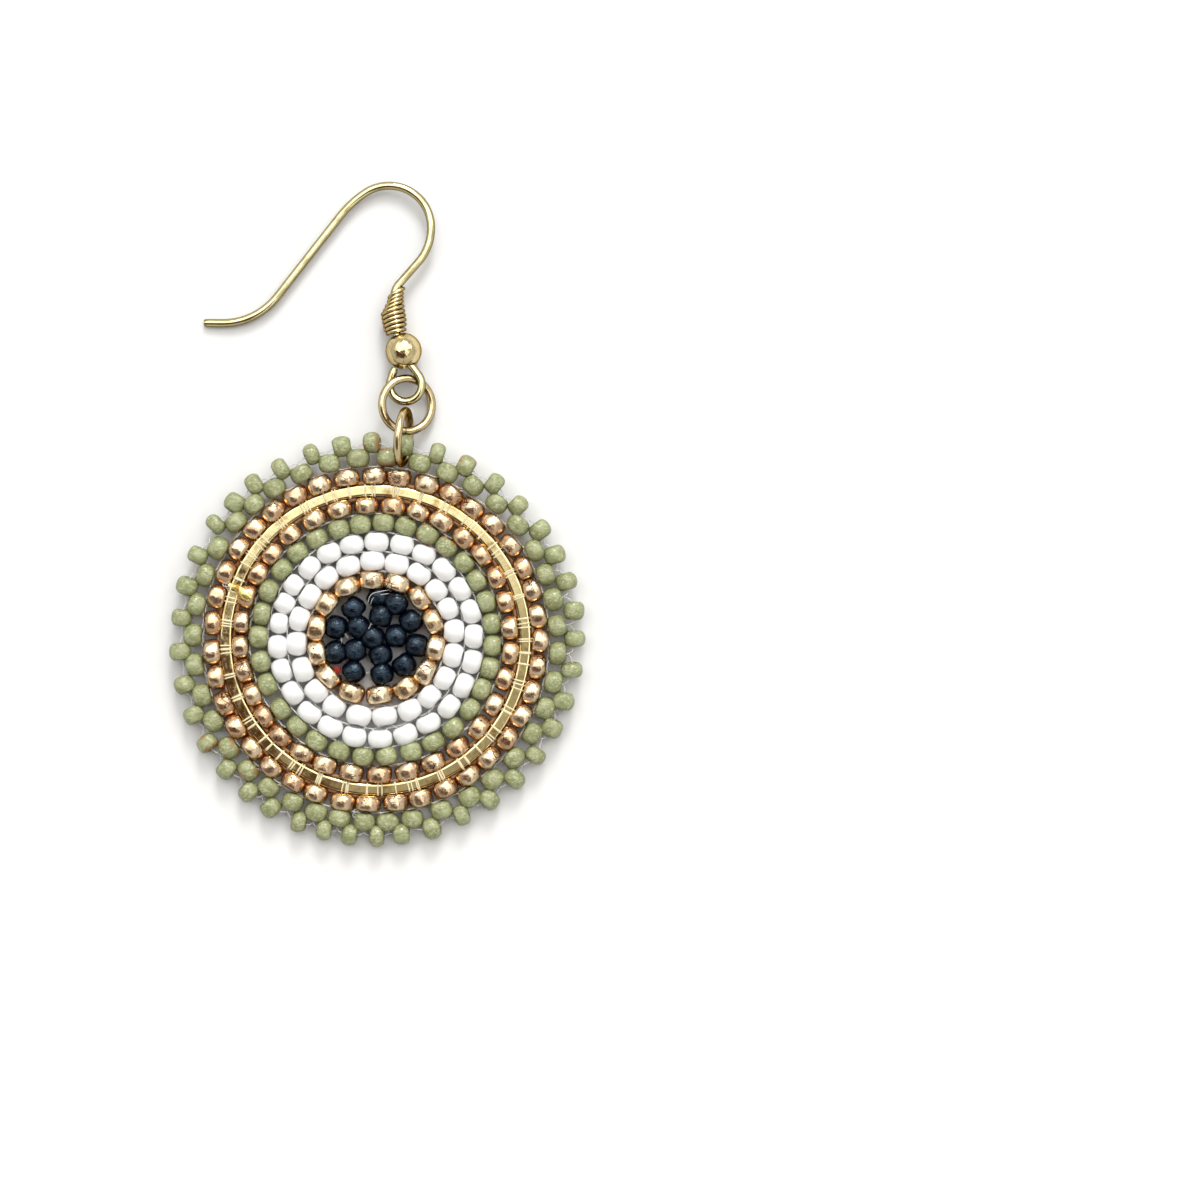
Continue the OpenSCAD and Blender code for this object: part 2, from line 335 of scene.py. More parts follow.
def add_round(name, layout, material, slot, replaced, seed, width=BEAD_WIDTH, snug=1.02, **more):
    """A stitched round of beads, holes along the radius. A bead fills the round's room, and is
    no wider than the snug share of the step to its nearer neighbour; it sits a little in or out,
    up or down, and its hole leans a few degrees. Where the round is drawn in, its beads lie
    nearer the centre by the pull x exp(-(distance / spread) squared)."""
    rng = np.random.default_rng(seed)
    count = layout["count"]
    middle = (layout["inner"] + layout["outer"]) / 2
    angles = round_angles(layout, rng)
    layout["angles"] = angles
    radius = middle + rng.normal(0, BEAD_OFF_ROUND, count)
    for place, pull, spread in layout.get("drawn_in", []):
        away = np.mod(angles - place + 180, 360) - 180
        radius = radius - pull * MM * np.exp(-(away / spread) ** 2)
    height = rng.normal(0, BEAD_OFF_LEVEL, count)
    lean = rng.normal(0, BEAD_LEAN, count)
    dip = rng.normal(0, BEAD_DIP, count)
    lengths = (layout["outer"] - layout["inner"] - ROUND_GAP) * rng.uniform(*BEAD_SPREAD, count)
    widths = np.minimum(width * rng.uniform(*BEAD_SPREAD, count), snug * room_beside(angles, middle))
    add_beads(
        name, polar(angles, radius, height), polar(angles + lean, 1.0, dip),
        lengths, widths, material, slot, replaced, seed, **more
    )


def gold_coat(name, full, pale):
    """Metal coat on glass: full and pale patches, pits on some beads and seams on others. The rims of
    the hole wear to amber, which is also painted there as reflection of the neighbouring beads; low on
    the flanks the same amber is painted shade and reflection."""
    material = new_material(name, Metallic=0.96, Specular_Tint=GOLD_EDGE)
    own_tone = step(material, attribute(material, "tone"), 0, 1, -0.12, 0.12)
    cloud = calculate(material, "ADD", noise(material, 1.2), own_tone)
    patches = mixed(material, step(material, cloud, 0.35, 0.65), full, pale)
    worn = noise(material, 3.5, 3.0)
    rim = step(material, attribute(material, "end"), 0.90, 1.20)
    # Painted shade: amber-brown low on each bead's flanks stands in for the shade and the neighbours'
    # reflection there.
    flank_painted_shade = step(material, attribute(material, "up"), 0.60, 0.15)
    amber = calculate(material, "MAXIMUM", rim, flank_painted_shade)
    amber_worn_and_shaded = mixed(material, amber, patches, GOLD_AMBER_WEAR_AND_SHADE)
    cells = add_node(material, "TexVoronoi", Vector=millimetres(material), Scale=1.9)
    pit_size = step(material, noise(material, 0.6, 1.0), 0.43, 0.64, 0.02, 0.16)
    pits = calculate(material, "LESS_THAN", cells.outputs["Distance"], pit_size)
    edges = add_node(
        material, "TexVoronoi", Vector=millimetres(material, (1, 1.4, 1)), Scale=1.5,
        feature="DISTANCE_TO_EDGE"
    )
    seam_width = step(material, noise(material, 0.45, 1.0), 0.56, 0.70, 0.0, 0.045)
    seams = calculate(material, "LESS_THAN", edges.outputs["Distance"], seam_width)
    pitted = calculate(material, "MAXIMUM", pits, seams)
    small_lumps = calculate(material, "MULTIPLY", noise(material, 4.0), 0.5)
    lumps = calculate(material, "ADD", noise(material, 1.5, 1.0), small_lumps)
    finish_surface(
        material, mixed(material, pitted, amber_worn_and_shaded, GOLD_PIT),
        roughness=step(material, worn, 0.3, 0.7, 0.15, 0.34),
        height=calculate(material, "SUBTRACT", lumps, pitted), depth=0.08 * MM, push=0.6
    )
    return material


champagne_coat = gold_coat("champagne gold coat on glass", CHAMPAGNE, CHAMPAGNE_PALE)
add_round(
    "centre_gold_beads", CENTRE_GOLD, champagne_coat, "gold_glass", ["centre_gold_round"], seed=11,
    width=CENTRE_GOLD_WIDTH, snug=1.06, **GOLD_FORM
)

# The two white rounds: opaque chalk white glass with a plain gloss, twenty and then twenty-five
# beads, each round stitched through the thread of the one before.
WHITE = (0.84, 0.84, 0.83, 1)
WHITE_SHADE = (0.80, 0.80, 0.78, 1)
WHITE_WIDTH = 2.14 * MM
INNER_WHITE = {
    "inner": 5.64 * MM, "outer": 7.29 * MM, "count": 20, "first": 6.5,
    "drift": [(0, 0), (3, -4), (10, -4), (12, -1.5), (13, -2.5), (16, 1), (20, 0)],
    "drawn_in": [(275, 0.18, 40)]
}
OUTER_WHITE = {
    "inner": 7.29 * MM, "outer": 8.86 * MM, "count": 25, "first": 2.5,
    "drift": [(0, 0), (9, 0.5), (10, -0.5), (12, -5.5), (14, -6.5), (25, 0)]
}

white = new_material(
    "white glass, glossy", Subsurface_Weight=0.15, Subsurface_Scale=1.0,
    Subsurface_Radius=(0.3 * MM, 0.3 * MM, 0.3 * MM)
)
finish_surface(
    white, mixed(white, step(white, noise(white, 1.2, 3.0), 0.4, 0.8), WHITE, WHITE_SHADE),
    roughness=step(white, noise(white, 3.0), 0.3, 0.7, 0.12, 0.24),
    height=noise(white, 2.0), depth=0.03 * MM, push=0.2
)
for name, layout, replaced, seed in (
    ("inner_white_beads", INNER_WHITE, "inner_white_round", 21),
    ("outer_white_beads", OUTER_WHITE, "outer_white_round", 22)
):
    add_round(name, layout, white, "white_glass", [replaced], seed, width=WHITE_WIDTH, lumpy=0.03)

# The middle green round: thirty-one beads of matt sage glass, faintly mottled, a few of them
# stained rust brown at the rim of the hole.
SAGE = (0.262, 0.285, 0.130, 1)
SAGE_PALE = (0.470, 0.500, 0.290, 1)
# Deep olive: the darker mottle, and the painted shade on the beads' flanks
SAGE_DEEP_AND_SHADE = (0.165, 0.168, 0.052, 1)
SAGE_RUST = (0.280, 0.130, 0.040, 1)
MIDDLE_GREEN = {
    "inner": 8.86 * MM, "outer": 10.37 * MM, "count": 31, "first": 8.5,
    "drift": [(0, -0.5), (10, -5), (17, -3.5), (18, -1.5), (19, -1.5), (27, 1.5), (30, 0.5), (31, -0.5)]
}
MIDDLE_GREEN_STAINED = (5, 4)

sage = new_material("sage glass, matt")
sage_cloud = step(sage, noise(sage, 0.9), 0.35, 0.65)
sage_mottle = step(sage, noise(sage, 2.8, 3.0), 0.42, 0.60)
sage_vein = step(sage, noise(sage, 2.0, 4.0, stretch=(1, 1.6, 1), Distortion=1.8), 0.50, 0.60)
sage_rim = calculate(
    sage, "MULTIPLY", attribute(sage, "stain"), step(sage, attribute(sage, "end"), 0.3, 0.9)
)
sage_stain = calculate(
    sage, "MULTIPLY", sage_rim, step(sage, noise(sage, 1.1, 3.0), 0.42, 0.56, 0.0, 0.8)
)
sage_layers = SAGE
for layer, share, colour in (
    (sage_cloud, 0.5, SAGE_PALE), (sage_mottle, 0.5, SAGE_DEEP_AND_SHADE), (sage_vein, 0.75, SAGE_PALE)
):
    sage_layers = mixed(sage, calculate(sage, "MULTIPLY", layer, share), sage_layers, colour)
# Painted shade: the beads darken towards their flanks, standing in for the shade there.
sage_painted_shade = step(sage, attribute(sage, "up"), 0.80, 0.10, 0.0, 0.78)
sage_shaded = mixed(sage, sage_painted_shade, sage_layers, SAGE_DEEP_AND_SHADE)
finish_surface(
    sage, mixed(sage, sage_stain, sage_shaded, SAGE_RUST),
    roughness=step(sage, sage_mottle, 0.0, 1.0, 0.16, 0.32),
    height=calculate(sage, "ADD", noise(sage, 2.6), sage_vein), depth=0.03 * MM, push=0.6
)
add_round(
    "middle_green_beads", MIDDLE_GREEN, sage, "green_glass", ["middle_green_round"], seed=31, lumpy=0.03,
    stained=MIDDLE_GREEN_STAINED
)

# The gold round inside the hoop: thirty-two coated beads, each stitched to the hoop by a loop of
# thread. They stand a little apart, because the hoop is longer round than the green beads are.
INNER_GOLD = {
    "inner": 10.37 * MM, "outer": 11.78 * MM, "count": 32, "first": 5.5,
    "drift": [(0, 0), (7, -1.5), (12, -0.5), (20, -5.5), (23, -5), (30, 0.5), (32, 0)]
}
rose_coat = gold_coat("rose gold coat on glass", GOLD_ROSE, GOLD_PALE)
add_round(
    "inner_gold_beads", INNER_GOLD, rose_coat, "gold_glass", ["inner_gold_round"], seed=41,
    width=GOLD_WIDTH, **GOLD_FORM
)

# The flat hoop: polished, gold plated flat wire, 25 mm across, with bevelled edges. It is the
# frame that the rounds are stitched to, and the stitches have bent it a hair at each loop.
HOOP_INNER = 11.84 * MM
HOOP_OUTER = 12.70 * MM
HOOP_HALF = 0.45 * MM
HOOP_BEVEL = np.array([0.15, 0.05]) * MM
HOOP_BEVEL_STEPS = 5
HOOP_FLAT_EDGE = 0.03 * MM
HOOP_ROLL = 0.28
HOOP_RISE = 0.004 * MM
HOOP_STEPS = 720
HOOP_GOLD = (0.88, 0.74, 0.39, 1)
HOOP_TARNISH = (0.52, 0.36, 0.14, 1)
OUTER_GOLD = {
    "inner": 12.76 * MM, "outer": 14.18 * MM, "count": 39, "first": 0.0,
    "drift": [(0, 0), (3, -1.5), (9, -2), (12, -1), (19, -1.5), (20, -0.5), (36, 0), (39, 0)]
}


def bent_hoop():
    """The hoop's section, a flat oblong with rounded corners, carried round the circle. Points just
    inside the corners keep its faces flat. The face rolls and rises by a small amount that changes
    from one stitch to the next."""
    rng = np.random.default_rng(51)
    angle = np.arange(HOOP_STEPS) * 360 / HOOP_STEPS
    stitches = np.sort(np.mod(INNER_GOLD["angles"], 360))
    roll = np.interp(angle, stitches, rng.normal(0, HOOP_ROLL, len(stitches)), period=360)
    rise = np.interp(angle, stitches, rng.normal(0, HOOP_RISE, len(stitches)), period=360)
    half = (HOOP_OUTER - HOOP_INNER) / 2
    swing = np.linspace(np.pi / 2, 0, HOOP_BEVEL_STEPS)
    corner = (half, HOOP_HALF) - HOOP_BEVEL + HOOP_BEVEL * np.stack([np.cos(swing), np.sin(swing)], -1)
    corner = np.concatenate([corner[:1] - (HOOP_FLAT_EDGE, 0), corner, corner[-1:] - (0, HOOP_FLAT_EDGE)])
    section = np.concatenate([corner, corner[::-1] * (1, -1), -corner, corner[::-1] * (-1, 1)])
    out, up = section.T
    tilt = np.radians(roll)[:, None]
    radius = (HOOP_INNER + HOOP_OUTER) / 2 + out * np.cos(tilt) - up * np.sin(tilt)
    height = out * np.sin(tilt) + up * np.cos(tilt) + rise[:, None]
    return polar(angle[:, None], radius, height)


hoop_metal = new_material("hoop, polished gold plate", Metallic=1.0)
hoop_cloud = noise(hoop_metal, 0.7, 3.0)
hoop_scratch = noise(hoop_metal, 3.0)
finish_surface(
    hoop_metal, mixed(hoop_metal, step(hoop_metal, hoop_cloud, 0.54, 0.72), HOOP_GOLD, HOOP_TARNISH),
    roughness=step(hoop_metal, hoop_scratch, 0.4, 0.7, 0.04, 0.12),
    height=hoop_scratch, depth=0.002 * MM, push=0.3
)
add_piece(
    "flat_hoop", on_disc(bent_hoop()), closed_grid(HOOP_STEPS, 4 * (HOOP_BEVEL_STEPS + 2)),
    hoop_metal, sharp=60, replaced=["frame_hoop"]
)

# The gold round outside the hoop: thirty-nine beads in the same rose gold coat, each stitched to
# the hoop by loops of thread, and a little apart as those inside it are.
add_round(
    "outer_gold_beads", OUTER_GOLD, rose_coat, "gold_glass", ["outer_gold_round"], seed=61,
    width=GOLD_WIDTH, **GOLD_FORM
)

# The green edging: forty matt sage beads with their holes along the radius, and forty picot beads
# that stand between them with their holes along the rim, so that the edge is scalloped. The lower
# jump ring passes between two of them, and they are pushed apart by it.
RING_PASSES_AT = 81.4
OUTER_GREEN = {
    "inner": 14.22 * MM, "outer": 15.72 * MM, "count": 40, "first": 4.5,
    "drift": [
        (0, 0), (3, -2), (13, 2), (15, 0.5), (20, 3.5), (24, 5), (27, 3.5), (31, -2), (36, 0.5), (40, 0)
    ],
    # Columns: angle of what parts the beads, push in degrees, spread in degrees
    "parted": [(RING_PASSES_AT, 0.6, 8.0)]
}
PICOT_RADIUS = 16.12 * MM
PICOT_LENGTH = 1.40 * MM
PICOT_WIDTH = 1.78 * MM
# Columns: angle where the picots stand out, by how many millimetres, spread in degrees
PICOT_BULGES = [(230, 0.16, 18), (8, 0.28, 17)]
PICOT_LIFT = 0.16 * MM
PICOT_LIFT_SPREAD = 3.0
PICOT_CHANCE = 0.3
PICOT_WANDER = 0.05 * MM
PICOT_LEAN = 6.0
PICOT_LENGTHS = (0.86, 1.06)
PICOT_WIDTHS = (0.96, 1.04)
OUTER_GREEN_STAINED = (9, 23, 24)
PICOT_STAINED = (6, 9, 22)

add_round(
    "outer_green_beads", OUTER_GREEN, sage, "green_glass", ["green_edging"], seed=71, lumpy=0.03,
    stained=OUTER_GREEN_STAINED
)
picot_rng = np.random.default_rng(72)
green_angles = OUTER_GREEN["angles"]
picot_angles = green_angles + np.mod(np.roll(green_angles, -1) - green_angles, 360) / 2
picot_angles += picot_rng.normal(0, PICOT_CHANCE, len(picot_angles))
picot_out = PICOT_RADIUS + picot_rng.normal(0, PICOT_WANDER, len(picot_angles))
for place, bulge, spread in PICOT_BULGES:
    away = np.mod(picot_angles - place + 180, 360) - 180
    picot_out += bulge * MM * np.exp(-(away / spread) ** 2)
picot_up = picot_rng.normal(0, PICOT_WANDER, len(picot_angles))
picot_up += PICOT_LIFT * np.exp(-(((picot_angles - RING_PASSES_AT) / PICOT_LIFT_SPREAD) ** 2))
add_beads(
    "picot_beads", polar(picot_angles, picot_out, picot_up),
    polar(picot_angles + 90 + picot_rng.normal(0, PICOT_LEAN, len(picot_angles)), 1.0,
          picot_rng.normal(0, BEAD_DIP, len(picot_angles))),
    PICOT_LENGTH * picot_rng.uniform(*PICOT_LENGTHS, len(picot_angles)),
    PICOT_WIDTH * picot_rng.uniform(*PICOT_WIDTHS, len(picot_angles)),
    sage, "green_glass", replaced=["green_edging"], seed=73, lumpy=0.03, stained=PICOT_STAINED
)

# The clear nylon thread: it runs through every bead, bridges from bead to bead between the rounds,
# and goes round the hoop and back for each gold bead beside it.
THREAD_RADIUS = 0.055 * MM
THREAD_SIDES = 6
STITCH_STEPS = 12
STITCH_WAVE = 0.12 * MM
STITCH_PHASE = 1.3
THREAD_CLEAR = (0.95, 0.94, 0.91, 1)
THREAD_SHADE = (0.80, 0.79, 0.74, 1)


def tubes(paths, radius, sides, across, closed=True, flat=1.0):
    """Round tubes along like paths. A ring of the tube turns about the path in the plane of two
    directions: the part of across that is square to the path, and the one square to both. The
    second may be flatter than the first."""
    ahead = np.roll(paths, -1, -2) - np.roll(paths, 1, -2)
    if not closed:
        ahead[..., 0, :] = paths[..., 1, :] - paths[..., 0, :]
        ahead[..., -1, :] = paths[..., -1, :] - paths[..., -2, :]
    ahead /= np.linalg.norm(ahead, axis=-1, keepdims=True)
    first = across - np.sum(across * ahead, -1, keepdims=True) * ahead
    first /= np.linalg.norm(first, axis=-1, keepdims=True)
    second = np.cross(ahead, first)
    turn = np.arange(sides) * 2 * np.pi / sides
    radius = np.broadcast_to(radius, paths.shape[:-1])[..., None, None]
    ring = np.cos(turn)[:, None] * first[..., None, :] + flat * np.sin(turn)[:, None] * second[..., None, :]
    return paths[..., None, :] + radius * ring


def tube_faces(count, rings, sides, closed=True):
    """Faces of a number of like tubes, as rings of corners, with flat ends where they are open."""
    i, j = np.meshgrid(np.arange(rings if closed else rings - 1), np.arange(sides), indexing="ij")
    i2, j2 = (i + 1) % rings, (j + 1) % sides
    skin = np.stack([i * sides + j, i * sides + j2, i2 * sides + j2, i2 * sides + j], -1).reshape(-1, 4)
    shift = np.arange(count) * rings * sides
    faces = (skin[None] + shift[:, None, None]).reshape(-1, 4).tolist()
    if not closed:
        start = np.arange(sides)[::-1]
        end = (rings - 1) * sides + np.arange(sides)
        faces += (start[None] + shift[:, None]).tolist() + (end[None] + shift[:, None]).tolist()
    return faces


def thread_stuff(name, full, shade, rough, **sockets):
    """Thread that wanders between two colours along its run, and between two roughnesses."""
    material = new_material(name, **sockets)
    finish_surface(
        material, mixed(material, noise(material, 1.5), full, shade),
        roughness=step(material, noise(material, 3.0), 0.3, 0.7, *rough)
    )
    return material


thread = new_material("clear nylon thread", Transmission_Weight=0.4, IOR=1.53)
finish_surface(
    thread, mixed(thread, step(thread, noise(thread, 2.0), 0.3, 0.7), THREAD_CLEAR, THREAD_SHADE),
    roughness=step(thread, noise(thread, 3.0), 0.3, 0.7, 0.12, 0.30)
)


def round_thread(layout, edge, reach, phase, radius=THREAD_RADIUS):
    """A closed thread along one side of a round. It dips into each bead's hole, by the reach x
    the square of (1 + cos 2 pi n) / 2 where n counts the beads, and comes out again between
    two beads. There it rises or falls by a wave that is as long as two beads."""
    angles = layout["angles"]
    number = np.arange(layout["count"] * STITCH_STEPS) / STITCH_STEPS
    at = np.interp(number, np.arange(layout["count"] + 1), np.append(angles, angles[0] + 360))
    inside = (0.5 + 0.5 * np.cos(2 * np.pi * number)) ** 2
    wave = STITCH_WAVE * np.sin(np.pi * number + phase) * (1 - inside)
    path = polar(at, edge + reach * inside, wave)
    return tubes(path[None], radius, THREAD_SIDES, UP)


def add_threads(name, bundles, material):
    """Bundles of tubes joined into one piece. Each bundle holds like tubes, shaped as tubes by
    rings by corners, and whether they are closed."""
    points, faces, start = [], [], 0
    for skin, closed in bundles:
        corners = tube_faces(len(skin), skin.shape[1], THREAD_SIDES, closed)
        faces += [[c + start for c in f] for f in corners]
        points.append(skin.reshape(-1, 3))
        start += len(points[-1])
    add_piece(name, on_disc(np.concatenate(points)), faces, material)


# Columns: round, which side of it the thread runs on, how far it dips into the beads
bridges = [
    (CENTRE_GOLD, "outer", -0.35), (INNER_WHITE, "inner", 0.35), (INNER_WHITE, "outer", -0.4),
    (OUTER_WHITE, "inner", 0.4), (OUTER_WHITE, "outer", -0.4), (MIDDLE_GREEN, "inner", 0.4),
    (MIDDLE_GREEN, "outer", -0.4), (INNER_GOLD, "inner", 0.4), (OUTER_GOLD, "outer", -0.4),
    (OUTER_GREEN, "inner", 0.4)
]
add_threads("round_threads", [
    (round_thread(layout, layout[side], reach * MM, STITCH_PHASE * number), True)
    for number, (layout, side, reach) in enumerate(bridges)
], thread)

# The thread beside the hoop: a nylon thread run along the gold beads on both sides of the hoop, drawn
# thicker than it is and coloured a painted brown shade that stands in for the shade and gold
# reflections in the gaps between the beads and the hoop.
SIDE_THREAD_RADIUS = 0.16 * MM
GAP_SHADE_AMBER = (0.34, 0.16, 0.055, 1)
GAP_SHADE_AMBER_DEEP = (0.20, 0.085, 0.03, 1)
# Columns: round, side of it, shift and dip into the beads in millimetres, phase of the wave
side_runs = [(INNER_GOLD, "outer", -0.14, -0.2, 0.0), (OUTER_GOLD, "inner", 0.14, 0.2, 1.0)]

# Painted shade: the thick brown thread fills the gaps beside the hoop with the colour of their shade and
# gold reflections.
gap_shade_thread = thread_stuff("thread, painted brown shade of the gaps", GAP_SHADE_AMBER, GAP_SHADE_AMBER_DEEP, (0.25, 0.45))
add_threads("hoop_side_threads", [
    (round_thread(layout, layout[side] + shift * MM, reach * MM, phase, SIDE_THREAD_RADIUS), True)
    for layout, side, shift, reach, phase in side_runs
], gap_shade_thread)

# The loops over the hoop: the same nylon thread, drawn tight round the flat wire twice for each
# gold bead beside it, and pale against the gold.
WRAP_RADIUS = 0.065 * MM
WRAP_STRAND_GAP = 0.26 * MM
WRAP_STEPS = 20
WRAP_SQUARENESS = 5.0
WRAP_REACH = 0.35 * MM
WRAP_POINT = 8
WRAP_PINCH = 0.8
WRAP_SLANT = 0.1
WRAP_CHANCE = 0.4
# How far the strands of a loop stand apart, as shares of the gap, and how often each comes
WRAP_SPREADS = ([0.15, 0.9, 1.3], [0.5, 0.35, 0.15])
WRAP_PALE = (1.0, 0.93, 0.66, 1)
WRAP_GOLD = (0.92, 0.80, 0.48, 1)


def hoop_wraps(angles, inward, rng):
    """Closed loops about the hoop, one at each angle: a squared oval a thread's radius outside
    the hoop's section, whose places out and up are half its size x cos and sin of the turn to
    the power 2 / squareness. It is drawn out to a point beside the bead that it holds."""
    count = len(angles)
    side = -1 if inward else 1
    turn = np.arange(WRAP_STEPS) * 2 * np.pi / WRAP_STEPS
    share = 2 / WRAP_SQUARENESS
    half_out = (HOOP_OUTER - HOOP_INNER) / 2 + WRAP_RADIUS
    half_up = HOOP_HALF + WRAP_RADIUS
    out = half_out * np.sign(np.cos(turn)) * np.abs(np.cos(turn)) ** share
    up = half_up * np.sign(np.sin(turn)) * np.abs(np.sin(turn)) ** share
    drawn = np.clip(side * np.cos(turn), 0, 1) ** WRAP_POINT
    out = out + side * WRAP_REACH * drawn
    up = up * (1 - WRAP_PINCH * drawn)
    slant = rng.normal(0, WRAP_SLANT, count)[:, None] * np.sin(turn)
    skew = rng.normal(0, WRAP_SLANT, count)[:, None] * np.cos(turn)
    at = angles[:, None] + slant + skew
    paths = polar(at, (HOOP_INNER + HOOP_OUTER) / 2 + out, up)
    across = polar(angles + 90, 1.0)[:, None]
    return tubes(paths, WRAP_RADIUS, THREAD_SIDES, across)


wrap_rng = np.random.default_rng(81)
half_gap = math.degrees(WRAP_STRAND_GAP / 2 / HOOP_OUTER)
wrap_points = []
for layout, inward in ((INNER_GOLD, True), (OUTER_GOLD, False)):
    loops_at = layout["angles"] + wrap_rng.normal(0, WRAP_CHANCE, layout["count"])
    spread = half_gap * wrap_rng.choice(WRAP_SPREADS[0], layout["count"], p=WRAP_SPREADS[1])
    for strand in (-1, 1):
        wrap_points.append(hoop_wraps(loops_at + strand * spread, inward, wrap_rng))
wrap_points = np.concatenate(wrap_points)
wrap_thread = thread_stuff(
    "thread over gold", WRAP_PALE, WRAP_GOLD, (0.10, 0.25), Transmission_Weight=0.25, IOR=1.53
)
add_piece(
    "hoop_wraps", on_disc(wrap_points), tube_faces(len(wrap_points), WRAP_STEPS, THREAD_SIDES),
    wrap_thread
)


def through(points, steps):
    """A smooth path through rows of points: on each stretch the curve is a cubic that passes
    through its two ends and leans as the chord of the points on either side does."""
    before = np.concatenate([2 * points[:, :1] - points[:, 1:2], points[:, :-2]], 1)
    after = np.concatenate([points[:, 2:], 2 * points[:, -1:] - points[:, -2:-1]], 1)
    p0, p1, p2, p3 = before, points[:, :-1], points[:, 1:], after
    t = (np.arange(steps) / steps)[:, None]
    p0, p1, p2, p3 = (p[:, :, None, :] for p in (p0, p1, p2, p3))
    curve = 0.5 * (
        2 * p1 + (p2 - p0) * t + (2 * p0 - 5 * p1 + 4 * p2 - p3) * t ** 2
        + (3 * p1 - p0 - 3 * p2 + p3) * t ** 3
    )
    curve = curve.reshape(len(points), -1, points.shape[-1])
    return np.concatenate([curve, points[:, -1:]], 1)


# The picot thread comes out of one green bead, goes through the picot bead above and down into
# the next green bead, so a short bare strand shows on each side of every picot.
PICOT_THREAD_FOOT = 0.5 * MM
PICOT_THREAD_EXIT = 0.05 * MM
PICOT_THREAD_SAG = 0.1 * MM
PICOT_THREAD_CROSS = 0.03 * MM
PICOT_THREAD_CLEAR = 0.5
next_green = green_angles + np.mod(np.roll(green_angles, -1) - green_angles, 360)
picot_side = np.degrees(PICOT_LENGTH / 2 / PICOT_RADIUS) + PICOT_THREAD_CLEAR
picot_foot = OUTER_GREEN["outer"] - PICOT_THREAD_FOOT
picot_exit = OUTER_GREEN["outer"] + PICOT_THREAD_EXIT
picot_end = picot_out - PICOT_THREAD_SAG
picot_path = np.stack([
    polar(green_angles, picot_foot),
    polar(green_angles, picot_exit, PICOT_THREAD_CROSS),
    polar(picot_angles - picot_side, picot_end, picot_up),
    polar(picot_angles, picot_out, picot_up),
    polar(picot_angles + picot_side, picot_end, picot_up),
    polar(next_green, picot_exit, -PICOT_THREAD_CROSS),
    polar(next_green, picot_foot)
], 1)
picot_curve = through(picot_path, steps=5)
picot_skin = tubes(picot_curve, THREAD_RADIUS, THREAD_SIDES, UP, closed=False)
add_threads("picot_threads", [(picot_skin, False)], thread)

# Loose ends in the stitching: strands of the navy centre's web that show over and between its
# beads, a knot on the hoop and one at the lower edge.
STRAND_RADIUS = 0.030 * MM
STRAND_ACROSS = np.array([0.3, 0.2, 1.0])
# Each strand by its points: place along X and Y from the disc's centre and height, in millimetres
NAVY_STRANDS = [
    [(-0.62, 3.02, 0.3), (-0.48, 3.55, 0.48), (-0.12, 3.86, 0.52), (0.55, 4.02, 0.5), (1.2, 4.12, 0.35)],
    [(-0.42, 2.92, 0.3), (-0.25, 3.35, 0.44), (0.1, 3.62, 0.46), (0.7, 3.76, 0.42), (1.25, 3.84, 0.3)],
    [(-1.78, 2.55, 0.8), (-1.62, 2.36, 0.86), (-1.4, 2.05, 0.62), (-1.2, 1.8, 0.55), (-1.05, 1.6, 0.8)],
    [(-0.2, 1.78, 0.8), (-0.28, 1.6, 0.62), (-0.36, 1.36, 0.5), (-0.45, 1.12, 0.62), (-0.55, 0.95, 0.85)],
    [(-3, 1.1, 0.5), (-2.84, 0.94, 0.42), (-2.62, 0.66, 0.35), (-2.4, 0.38, 0.42), (-2.24, 0.2, 0.6)],
    [(-2.92, 0.55, 0.4), (-2.84, 0.3, 0.42), (-2.79, 0, 0.45), (-2.76, -0.3, 0.42), (-2.8, -0.5, 0.3)]
]
KNOT_STEPS = 60
# Columns: angle round the disc, distance from its centre, height, size of the knot, turn
KNOTS = [(159.6, 12.95, 0.72, 0.11, 20.0), (263.6, 14.32, 0.40, 0.12, 75.0)]


def turned(points, angle, axis):
    """Points turned by an angle in degrees about an axis through the origin."""
    return points @ np.array(Matrix.Rotation(math.radians(angle), 3, axis)).T


def knot_path(size, turn):
    """A trefoil knot: as t goes once round, x = sin t + 2 sin 2t, y = cos t - 2 cos 2t and
    z = -sin 3t, times the knot's size and turned in the plane."""
    t = np.arange(KNOT_STEPS) * 2 * np.pi / KNOT_STEPS
    path = np.stack([np.sin(t) + 2 * np.sin(2 * t), np.cos(t) - 2 * np.cos(2 * t), -np.sin(3 * t)], -1)
    return turned(path, turn, "Z") * size * MM


# The web joins each of the outer ten beads to the next one round, each of the inner five to the
# next, and the first bead to each of the five
around_navy = np.argsort(navy_angle[6:]) + 6
navy_links = list(zip(around_navy, np.roll(around_navy, -1)))
navy_links += list(zip(range(1, 6), (2, 3, 4, 5, 1))) + [(0, b) for b in range(1, 6)]
navy_at = polar(navy_angle, navy_out, navy_height)
navy_ends = [(navy_at[a], navy_at[b]) for a, b in navy_links]
navy_web = through(np.array([(start, (start + end) / 2, end) for start, end in navy_ends]), steps=3)
strands = through(np.array(NAVY_STRANDS), steps=6)
knots = np.array([
    knot_path(size, turn) + polar(angle, out, height) * MM for angle, out, height, size, turn in KNOTS
])
add_threads("loose_threads", [
    (tubes(paths, STRAND_RADIUS, THREAD_SIDES, STRAND_ACROSS, closed), closed)
    for paths, closed in ((navy_web * MM, False), (strands * MM, False), (knots, True))
], thread)

# A scrap of gold foil caught in the stitching: a bright twisted strip from the hoop over one gold
# bead, and a brown flap below it.
FOIL_THICKNESS = 0.25
FOIL_SIDES = 8
FOIL_GOLD = (0.98, 0.80, 0.30, 1)
FOIL_BROWN = (0.50, 0.30, 0.06, 1)
